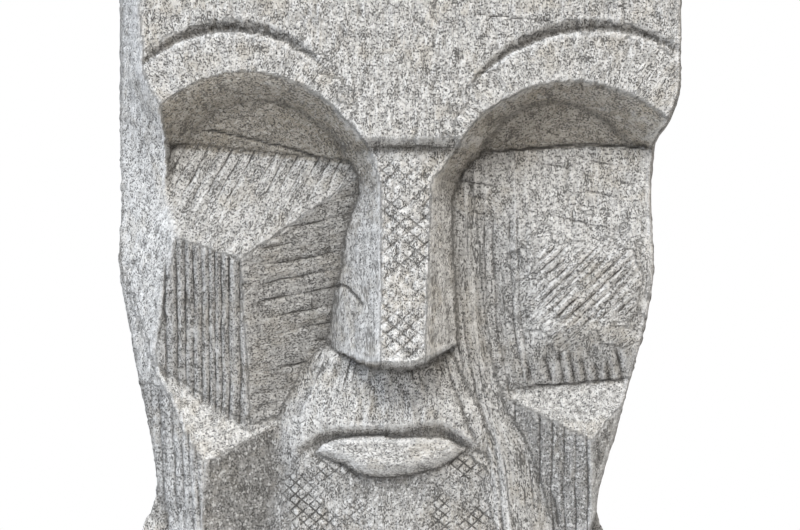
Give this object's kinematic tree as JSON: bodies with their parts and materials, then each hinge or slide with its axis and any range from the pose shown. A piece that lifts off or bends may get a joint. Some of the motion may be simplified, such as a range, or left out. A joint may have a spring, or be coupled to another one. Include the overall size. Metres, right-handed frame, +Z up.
{
  "type": "moai stone head statue",
  "caption": "Large carved granite moai head with deep brows, long nose and faceted cheeks, cut flat below to stand as a bust.",
  "frame": {"origin": "middle of the foot, on the floor", "axes": "+Z up, the face looks along -Y, +X to the viewer's right"},
  "size_m": [0.85, 0.7217, 1.29],
  "materials": {
    "granite": "point-chiselled and hatched grey granite"
  },
  "bodies": {
    "root": {"moai_head": "granite"}
  },
  "joints": []
}
